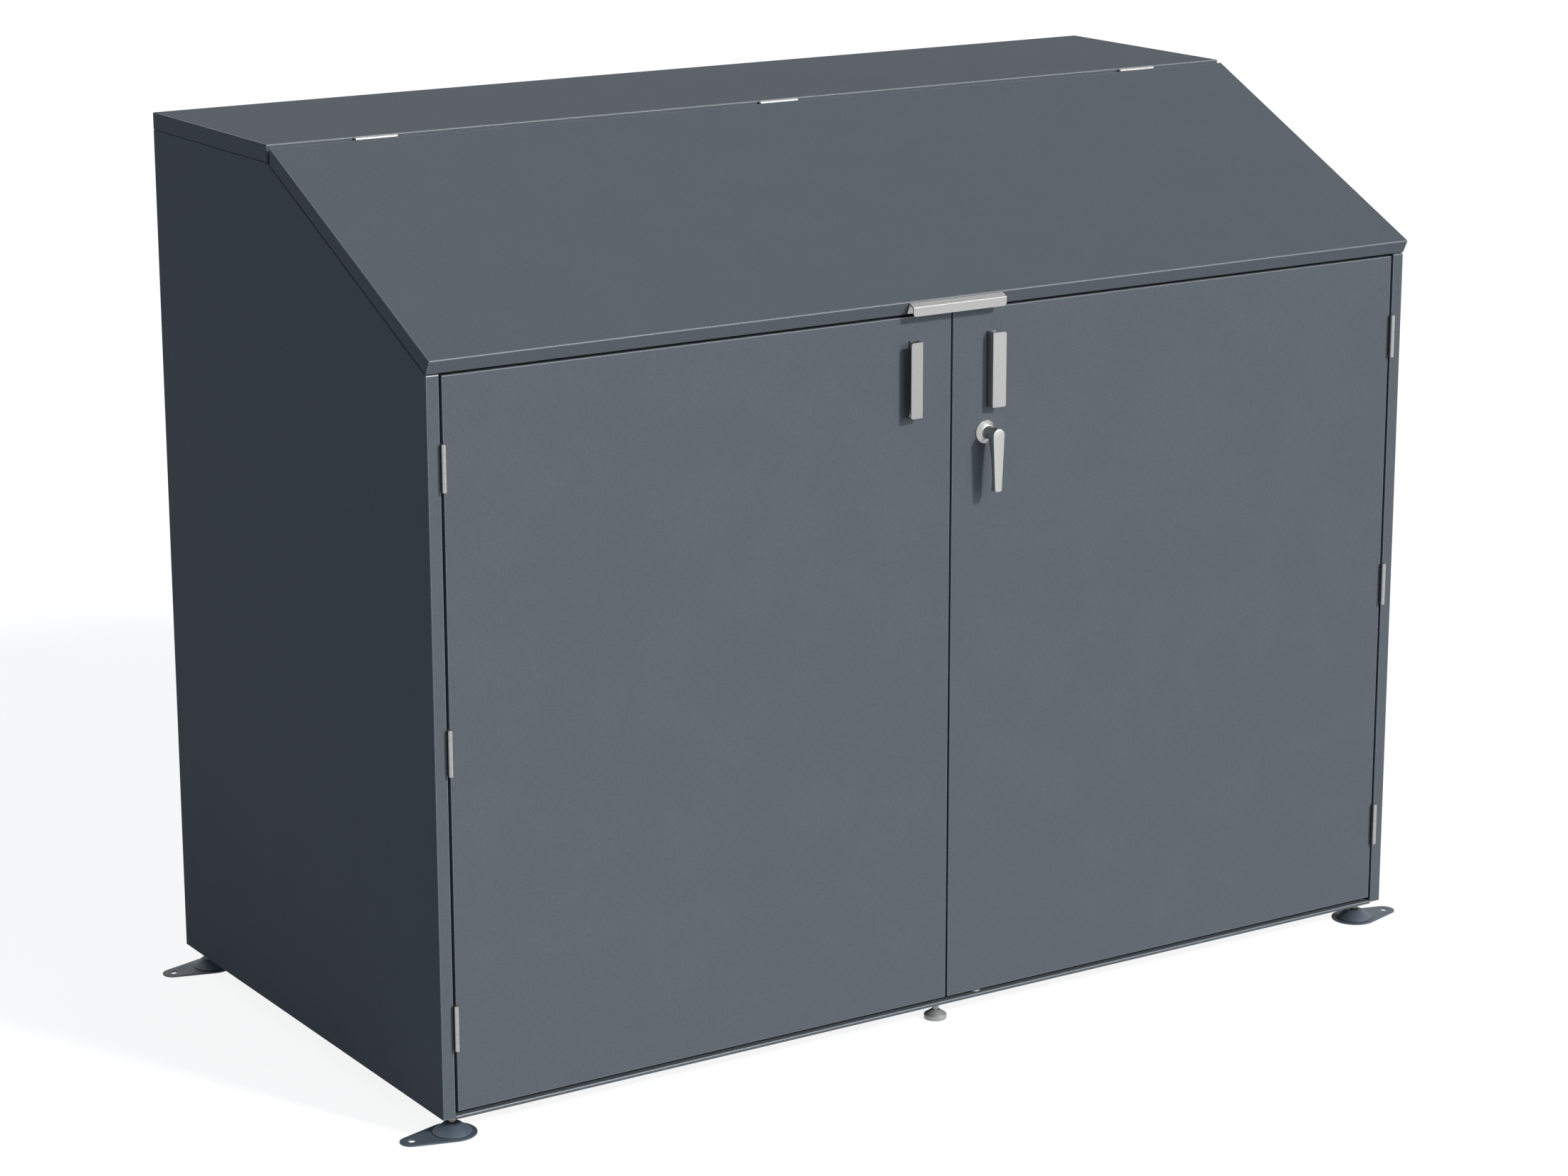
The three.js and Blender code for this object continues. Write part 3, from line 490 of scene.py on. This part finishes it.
def hingeHalf(fixed, gap, leafEnd):  # pin along Z, leaves towards +Y, the fixed side at +X
    h = hinge
    half, step = h["length"] / 2, h["length"] / h["knuckles"]
    side = 1 if fixed else -1
    outer = gap / 2 - h["leafPlay"]
    near, far = sorted((side * (outer - h["leaf"]), side * outer))
    room = h["radius"] + h["gap"]
    # the leaf and the webs take the darker second steel: painted shade
    bm = markedSecond(slab((near, room - h["lap"], -half), (far, leafEnd, half), h["leafEdge"]))
    bore = 0 if fixed else h["pin"] + h["pinPlay"]  # the pin is part of the fixed half
    for place in range(0 if fixed else 1, h["knuckles"], 2):  # every other knuckle
        low = -half + place * step + h["split"] / 2
        high = low + step - h["split"]
        addTo(bm, knuckle(low, high, bore))
        addTo(bm, markedSecond(slab((near, 0, low), (far, room, high), h["webEdge"])))
    if fixed:
        pin, pinHalf = h["pin"], half - h["pinShort"]
        profile = [(0, -pinHalf), (pin, -pinHalf), (pin, pinHalf), (0, pinHalf)]
        addTo(bm, turned(profile, facets["screw"]))
        head, rise, sunk = h["pinHead"], h["pinHeadRise"], -h["pinHeadSunk"]
        profile = [(0, rise), (head * 0.6, rise * 0.85), (head, 0), (head, sunk), (0, sunk)]
        for end in (-1, 1):
            outward = Matrix.Rotation(0 if end > 0 else pi, 4, "X")
            cap = turned(profile, facets["screw"])
            addTo(bm, cap, Matrix.Translation((0, 0, end * half)) @ outward)
    face = side * (gap / 2 - h["leafPlay"] - h["leaf"])
    across = (h["radius"] + leafEnd) / 2 + 2  # a little past the leaf's middle
    for z in h["screwLevels"]:
        inward = Matrix.Rotation(-side * pi / 2, 4, "Y")
        screw = screwHead(h["screwRadius"], h["screwRise"])
        addTo(bm, screw, Matrix.Translation((face, across, z)) @ inward)
    return bm


def placeHinge(label, matrix, places, fixedBody, movingBody):
    for fixed, body, suffix in ((True, fixedBody, "fixed"), (False, movingBody, "moving")):
        bm = hingeHalf(fixed, places["gap"], places["leafEnd"])
        moveBy(bm, matrix)
        newPiece(f"{label}_{suffix}", bm, body, "hingeSteel", smooth=32)


doorHinges = {
    "x": 974.4,
    "y": -6.6,
    "middle": (11 + 1238.8653722) / 2,  # half-way between the door's lower and upper edge
    "pitch": 467,
    "gap": 4.4,
    "leafEnd": 26.6,
}
for sign, hand in ((-1, "left"), (1, "right")):
    for step, level in ((-1, "lower"), (0, "middle"), (1, "upper")):
        z = doorHinges["middle"] + step * doorHinges["pitch"]
        place = Matrix.Translation((sign * doorHinges["x"], doorHinges["y"], z))
        if sign < 0:
            place = place @ Matrix.Scale(-1, 4, (1, 0, 0))
        placeHinge(f"{hand}_door_hinge_{level}", place, doorHinges, "cabinet", f"{hand}_door")

lidHinges = {"x": 800, "y": 544, "z": 1531, "gap": 10, "leafEnd": 20}
lidTurn = Matrix(((0, 0, -1, 0), (1, 0, 0, 0), (0, -1, 0, 0), (0, 0, 0, 1)))  # Z to -X, Y to -Z
for sign, label in ((-1, "left"), (0, "middle"), (1, "right")):
    place = Matrix.Translation((sign * lidHinges["x"], lidHinges["y"], lidHinges["z"])) @ lidTurn
    placeHinge(f"lid_hinge_{label}", place, lidHinges, "cabinet", "lid")
print("hinges made")


lever = {
    "x": 71.5,
    "z": 1022.7653722,
    "front": -40.6,
    "head": 11.8,
    "tipHalf": 7.2,
    "tipCorner": 4.5,
    "length": 98.8,
    "back": [  # (z, y) from the head to the hooked tip
        (12, -23.1), (0, -23.1), (-11, -25.4), (-21, -28.4), (-38, -31.2), (-60, -32.2),
        (-80, -31.8), (-88, -31), (-93, -29.4), (-96, -27.6), (-98, -26.4), (-99, -26),
    ],
    "longSide": 40,  # edges over this are the two long sides
    "longCuts": 14,
    "frontBevel": 1.3,
    "backBevel": 1.8,
    "shaft": 10.5,
    "shaftEnds": (-33, 4),
    "square": 8,
    "squareEnds": (3, 31),
    "squareEdge": 0.5,
    "screwRadius": 5,
    "screwRise": 2.4,
}


def onCurve(points, at):  # straight reading between the points of a falling list
    for (a, low), (b, high) in zip(points, points[1:]):
        if b <= at <= a:
            return low + (high - low) * (a - at) / (a - b)
    return points[-1][1] if at < points[-1][0] else points[0][1]


def allIn(edge, verts):
    return all(vert in verts for vert in edge.verts)


def leverBody():
    corner = lever["tipCorner"]
    spread, tip = lever["tipHalf"] - corner, corner - lever["length"]
    circles = [(0, 0, lever["head"]), (-spread, tip, corner), (spread, tip, corner)]
    bm = hullOutline(circles, facets["outline"])
    longSides = [e for e in bm.edges if e.calc_length() > lever["longSide"]]
    bmesh.ops.subdivide_edges(bm, edges=longSides, cuts=lever["longCuts"])
    moved = bmesh.ops.extrude_face_region(bm, geom=bm.faces[:])["geom"]
    backVerts = {g for g in moved if isinstance(g, bmesh.types.BMVert)}
    backFaces = [g for g in moved if isinstance(g, bmesh.types.BMFace)]
    for vert in backVerts:
        vert.co.z = 1
    bmesh.ops.delete(bm, geom=backFaces, context="FACES_ONLY")
    rails = []  # the back's left and right side, without the short edges that cross the middle
    for edge in bm.edges:
        if allIn(edge, backVerts) and edge.verts[0].co.x * edge.verts[1].co.x > 0:
            rails.append(edge)
    bmesh.ops.bridge_loops(bm, edges=rails)
    for vert in bm.verts:  # the outline lies in XY so far: stand it up in XZ
        x, z = vert.co.x, vert.co.y
        vert.co = (x, onCurve(lever["back"], z) if vert in backVerts else lever["front"], z)
    bmesh.ops.recalc_face_normals(bm, faces=bm.faces)
    frontVerts = set(bm.verts) - backVerts
    frontRims = [e for e in sharpEdges(bm, cornerAngle) if allIn(e, frontVerts)]
    bevelEdges(bm, frontRims, lever["frontBevel"], 4)
    bevelEdges(bm, sharpEdges(bm, cornerAngle), lever["backBevel"], 4)
    return bm


def leverPiece():
    bm = leverBody()
    r, (near, far) = lever["shaft"], lever["shaftEnds"]
    shaft = [(0, near), (r - 0.4, near), (r, near + 3), (r, far - 0.4), (r - 0.4, far), (0, far)]
    addTo(bm, turned(shaft, facets["shaft"]), lieAlong)
    half, (near, far) = lever["square"] / 2, lever["squareEnds"]
    addTo(bm, slab((-half, near, -half), (half, far, half), lever["squareEdge"]))
    screw = screwHead(lever["screwRadius"], lever["screwRise"])
    addTo(bm, screw, Matrix.Translation((0, far, 0)) @ lieAlong)
    shift(bm, lever["x"], 0, lever["z"])
    newPiece("lock_lever", bm, "lock_spindle", "lockSteel", smooth=35)


rosette = {"radius": 20.4, "face": 12.2, "height": 7.6, "rim": 1.8, "bore": 10.8, "seat": 0.3}


def rosettePiece():
    r, f, h, b = rosette["radius"], rosette["face"], rosette["height"], rosette["bore"]
    rim, seat = rosette["rim"], rosette["seat"]
    bm = turned([
        (b, -seat), (r - 0.4, -seat), (r, -seat - 0.4), (r, -rim + 0.3), (r - 0.5, -rim - 0.2),
        (f + 0.9, -h + 0.8), (f, -h + 0.15), (f - 0.9, -h),
        (b + 0.4, -h), (b, -h + 0.4), (b, -seat),
    ], facets["disc"])
    moveBy(bm, lieAlong)
    shift(bm, lever["x"], 0, lever["z"])
    newPiece("lock_rosette", bm, "right_door", "lockSteel", smooth=40)


bush = {"outer": 10, "bore": 5.8, "low": 4.3, "high": 7.2, "y": 15.6}


def bushPiece():
    o, b, low, high = bush["outer"], bush["bore"], bush["low"], bush["high"]
    bm = turned([
        (b, low), (o - 0.3, low), (o, low + 0.3), (o, high - 1.6), (o - 0.5, high - 0.5),
        (o - 1.6, high), (b + 0.5, high), (b, high - 0.5), (b, low),
    ], facets["shaft"])
    shift(bm, lever["x"], bush["y"], 0)
    newPiece("sill_bush", bm, "cabinet", "footSteel", smooth=60)


leverPiece()
rosettePiece()
bushPiece()
print("lever lock made")


cornerFoot = {
    "x": 966.6,
    "frontY": 33.4,
    "rearY": 971.6,
    "ground": -39,  # heights below count from here
    "lugSheet": 2.5,
    "lugRadius": 41.5,
    "lugReach": 74.7,
    "lugTip": 20.2,
    "lugHole": 6,
    "lugEdge": 0.5,
    "lugCorner": 60,  # degrees
    "padRadius": 33.2,
    "padTop": 15,
    "padHeight": 18,
    "socket": 6.6,
    "socketFloor": 4,
    "ballRadius": 5.9,
    "ballPlay": 0.3,
    "hexFlats": 11.4,
    "hexLow": 18.3,
}
spindleTop = {
    "hexHigh": 30,
    "hexEndEdge": 0.8,
    "hexLongEdge": 0.3,
    "thread": 5,
    "root": 4.1,
    "pitch": 1.5,
    "teeth": ((0, 0.35), (0, 0.5), (0.8, 0.92)),  # (depth, share of the pitch)
    "top": 65,
}


def lugPlate():  # the pear-shaped sheet, its hole towards +X
    c = cornerFoot
    segments = facets["plate"]
    bm = hullOutline([(0, 0, c["lugRadius"]), (c["lugReach"], 0, c["lugTip"])], segments)
    bmesh.ops.delete(bm, geom=bm.faces[:], context="FACES_ONLY")
    outer = bm.edges[:]
    hole = bmesh.ops.create_circle(bm, cap_ends=False, segments=segments, radius=c["lugHole"])
    bmesh.ops.translate(bm, vec=(c["lugReach"], 0, 0), verts=hole["verts"])
    inner = [e for e in bm.edges if e not in outer]
    bmesh.ops.bridge_loops(bm, edges=outer + inner)
    moved = bmesh.ops.extrude_face_region(bm, geom=bm.faces[:])["geom"]
    upper = [g for g in moved if isinstance(g, bmesh.types.BMVert)]
    bmesh.ops.translate(bm, vec=(0, 0, c["lugSheet"]), verts=upper)
    bmesh.ops.recalc_face_normals(bm, faces=bm.faces)
    bevelEdges(bm, sharpEdges(bm, c["lugCorner"]), c["lugEdge"], 3)
    return bm


def padPiece(node, sign, y):
    c = cornerFoot
    bm = lugPlate()
    sheet, r, top, h = c["lugSheet"], c["padRadius"], c["padTop"], c["padHeight"]
    s, floor = c["socket"], c["socketFloor"]
    addTo(bm, turned([
        (0, floor), (s, floor), (s, h - 1.5), (s + 1.7, h), (top - 0.3, h), (top + 0.3, h - 0.25),
        (r - 0.5, sheet + 1.8), (r - 0.2, sheet + 1.2), (r - 1, sheet + 0.6),
        (r - 3.4, sheet + 0.5), (r - 3.4, sheet - 1), (0, sheet - 1),
    ], facets["disc"]))
    if sign < 0:
        turnBy(bm, pi, "Z")
    shift(bm, sign * c["x"], y, c["ground"])
    # the pad takes the slate tinted darker and bluer: painted shade
    newPiece(node, bm, "cabinet", "footSlate", smooth=16)


def threadLine(low, high):  # the zigzag profile of a cut thread
    radius, pitch = spindleTop["thread"], spindleTop["pitch"]
    line = [(spindleTop["root"], low)]
    for winding in range(int((high - low) / pitch)):
        for depth, share in spindleTop["teeth"]:
            line.append((radius - depth, low + pitch * (winding + share)))
    return line


def spindleShape(ball, low, hexFlats, hexLow):  # ball end in the foot's socket, hexagon, thread
    t = spindleTop
    hexHigh, root, top = t["hexHigh"], t["root"], t["top"]
    profile = [(0, low), (ball - 0.4, low), (ball, low + 0.4), (ball, hexLow), (0, hexLow)]
    bm = turned(profile, facets["bar"])
    addTo(bm, hexBar(hexFlats, hexLow, hexHigh, t["hexEndEdge"], t["hexLongEdge"]))
    line = threadLine(hexHigh, top - t["pitch"])
    profile = [(0, hexHigh - 1), (root, hexHigh - 1), *line, (root - 0.3, top), (0, top)]
    addTo(bm, turned(profile, facets["bar"]))
    return bm


def spindlePiece(node, sign, y):
    c = cornerFoot
    low = c["socketFloor"] + c["ballPlay"]
    bm = spindleShape(c["ballRadius"], low, c["hexFlats"], c["hexLow"])
    shift(bm, sign * c["x"], y, c["ground"])
    newPiece(node, bm, node, "zinc", smooth=32)


middleFoot = {
    "radius": 20.2,
    "rim": 8.8,
    "top": 8,
    "height": 16.5,
    "socket": 6.9,
    "socketFloor": 9,
    "neck": 4.6,
    "neckSunk": 0.5,  # foot and spindle are one piece here
    "hexFlats": 11,
    "hexLow": 17.5,
}


def middleFootPiece(node, y):
    c = middleFoot
    r, rim, top, h = c["radius"], c["rim"], c["top"], c["height"]
    s, floor = c["socket"], c["socketFloor"]
    bm = turned([
        (0, 0), (r - 1.4, 0), (r - 0.4, 0.4), (r, 1.3), (r, rim - 0.7), (r - 0.5, rim),
        (top + 0.6, h - 0.4), (top - 0.1, h), (s + 0.2, h), (s, h - 0.3), (s, floor), (0, floor),
    ], facets["disc"])
    addTo(bm, spindleShape(c["neck"], floor - c["neckSunk"], c["hexFlats"], c["hexLow"]))
    shift(bm, 0, y, cornerFoot["ground"])
    newPiece(node, bm, node, "footSteel", smooth=28)


for row, y in (("front", cornerFoot["frontY"]), ("rear", cornerFoot["rearY"])):
    for sign, hand in ((-1, "left"), (1, "right")):
        padPiece(f"{row}_{hand}_foot_pad", sign, y)
        spindlePiece(f"{row}_{hand}_foot_spindle", sign, y)
    middleFootPiece(f"{row}_middle_foot", y)
print("feet made")


strut = {
    "x": 960,
    "foot": (540, 1220),  # (y, z) of the lower pivot
    "length": 250.792,  # between the pivots
    "lean": 24.7986,  # degrees from upright, towards the front
    "tube": 9,
    "tubeStart": 13,
    "tubeEnd": 26,  # short of the upper pivot
    "tubeLip": 12,
    "rod": 4,
    "rodStart": 56,
    "eye": 7.5,
    "eyeHalf": 6,
    "eyeEdge": 0.6,
    "lowerBore": 4.3,
    "upperBore": 2.2,
    "neckHalf": 4,
    "neckEnds": (5.5, 16),
    "neckEdge": 0.8,
    "collar": 1.6,  # how far it stands out round the rod
    "collarLength": 8,
}


def strutEye(z, bore):
    e, half, c = strut["eye"], strut["eyeHalf"], strut["eyeEdge"]
    outside = [(e - c, -half), (e, c - half), (e, half - c), (e - c, half)]
    bm = turned([(bore, -half), *outside, (bore, half), (bore, -half)], facets["bar"])
    turnBy(bm, pi / 2, "Y")
    shift(bm, 0, 0, z)
    return bm


def strutTube():
    t, r = strut["tube"], strut["rod"]
    start, end = strut["tubeStart"], strut["length"] - strut["tubeEnd"]
    inner = end - strut["tubeLip"]
    bm = strutEye(0, strut["lowerBore"])
    wide, deep = strut["eyeHalf"] - strut["eyeEdge"], strut["neckHalf"]
    low, high = strut["neckEnds"]
    addTo(bm, slab((-wide, -deep, low), (wide, deep, high), strut["neckEdge"]))
    addTo(bm, turned([
        (0, start), (t - 3, start), (t - 1.2, start + 1.2), (t, start + 3),
        (t, end - 3), (t - 0.7, end - 1), (t - 2.4, end),
        (r + 0.7, end), (r + 0.3, end - 0.6), (r + 0.3, inner), (0, inner),
    ], facets["tube"]))
    return bm


def strutRod():
    r, start, length = strut["rod"], strut["rodStart"], strut["length"]
    collar, end = r + strut["collar"], length - strut["eyeHalf"]
    step = end - strut["collarLength"]
    bm = strutEye(length, strut["upperBore"])
    addTo(bm, turned([
        (0, start), (r - 0.5, start), (r, start + 1), (r, step), (collar, step + 1.5),
        (collar, end), (0, end),
    ], facets["bar"]))
    return bm


def strutPieces(sign, hand):
    stand = Matrix.Translation((sign * strut["x"], *strut["foot"]))
    place = stand @ Matrix.Rotation(radians(strut["lean"]), 4, "X")
    for shape, part, finish in ((strutTube, "cylinder", "enamel"), (strutRod, "rod", "chrome")):
        bm = shape()
        moveBy(bm, place)
        node = f"{hand}_strut_{part}"
        newPiece(node, bm, node, finish, smooth=35)


strutPieces(-1, "left")
strutPieces(1, "right")
print("struts made")


def seenDirectly(graph):  # 1 for camera, glossy and transmission rays
    camera = graph.add("ShaderNodeLightPath", out="Is Camera Ray")
    glossy = graph.add("ShaderNodeLightPath", out="Is Glossy Ray")
    through = graph.add("ShaderNodeLightPath", out="Is Transmission Ray")
    clamped = {"operation": "ADD", "use_clamp": True}
    total = graph.add("ShaderNodeMath", clamped, {0: camera, 1: glossy})
    return graph.add("ShaderNodeMath", clamped, {0: total, 1: through})


studioFloor = {
    "size": 80,
    "paint": 0.3,  # as seen: a little paint takes the shadow, the glow does the rest
    "glow": 0.88,
    "bounce": (0.44, 0.46, 0.49),  # as it lights the object
}


def stageFloor():
    bm = bmesh.new()
    bmesh.ops.create_grid(bm, x_segments=4, y_segments=4, size=studioFloor["size"])
    mesh = bpy.data.meshes.new("studioFloor")
    bm.to_mesh(mesh)
    bm.free()
    floor = bpy.data.objects.new("studioFloor", mesh)
    bpy.context.scene.collection.objects.link(floor)
    paint = bpy.data.materials.new("studioFloorPaint")
    graph = Graph(paint)
    seen = seenDirectly(graph)
    grey = (studioFloor["paint"],) * 3
    pale = graph.add("ShaderNodeBsdfDiffuse", {}, {"Color": (*grey, 1)})
    shine = {"Color": (1, 1, 1, 1), "Strength": studioFloor["glow"]}
    glow = graph.add("ShaderNodeEmission", {}, shine)
    shown = graph.add("ShaderNodeAddShader", {}, {0: pale, 1: glow})
    quiet = graph.add("ShaderNodeBsdfDiffuse", {}, {"Color": (*studioFloor["bounce"], 1)})
    graph.surface(graph.add("ShaderNodeMixShader", {}, {0: seen, 1: quiet, 2: shown}))
    mesh.materials.append(paint)


light = {
    "ambient": (0.165, 0.192, 0.225),
    "key": {"travel": (-0.45, 1.0, -0.66), "strength": 1.75, "angle": 5},
    "fill": {"travel": (-0.3, 1.0, 0.0), "strength": 1.92, "angle": 50},
}


def addSun(name, travel, strength, angle):
    lamp = bpy.data.lights.new(name, "SUN")
    lamp.energy = strength
    lamp.angle = radians(angle)
    sun = bpy.data.objects.new(name, lamp)
    sun.rotation_euler = Vector(travel).to_track_quat("-Z", "Y").to_euler()
    sun.location = -Vector(travel) * 6  # out of the way, a sun lights alike from anywhere
    bpy.context.scene.collection.objects.link(sun)


def makeWorld():
    world = bpy.data.worlds.new("studioWorld")
    bpy.context.scene.world = world
    graph = Graph(world)
    seen = seenDirectly(graph)
    soft = graph.add("ShaderNodeBackground", {}, {"Color": (*light["ambient"], 1), "Strength": 1.0})
    white = graph.add("ShaderNodeBackground", {}, {"Color": (1, 1, 1, 1), "Strength": 1.0})
    mixed = graph.add("ShaderNodeMixShader", {}, {0: seen, 1: soft, 2: white})
    graph.add("ShaderNodeOutputWorld", {}, {"Surface": mixed})


stageFloor()
makeWorld()
addSun("keySun", **light["key"])
addSun("fillSun", **light["fill"])

view = {
    "place": (-3.80462, -5.89746, 2.54917),
    "turn": (1.322121, 0.001492, -0.570142),
    "lens": 91.446,
    "sensor": 36,
    "shiftY": -0.027125,
    "farClip": 400,
}
lens = bpy.data.cameras.new("photoCamera")
lens.lens = view["lens"]
lens.sensor_width = view["sensor"]
lens.shift_y = view["shiftY"]
lens.clip_end = view["farClip"]
camera = bpy.data.objects.new("photoCamera", lens)
camera.location = view["place"]
camera.rotation_euler = Euler(view["turn"], "XYZ")
bpy.context.scene.collection.objects.link(camera)
bpy.context.scene.camera = camera
bpy.context.scene.view_settings.view_transform = "Standard"
print("stage ready")
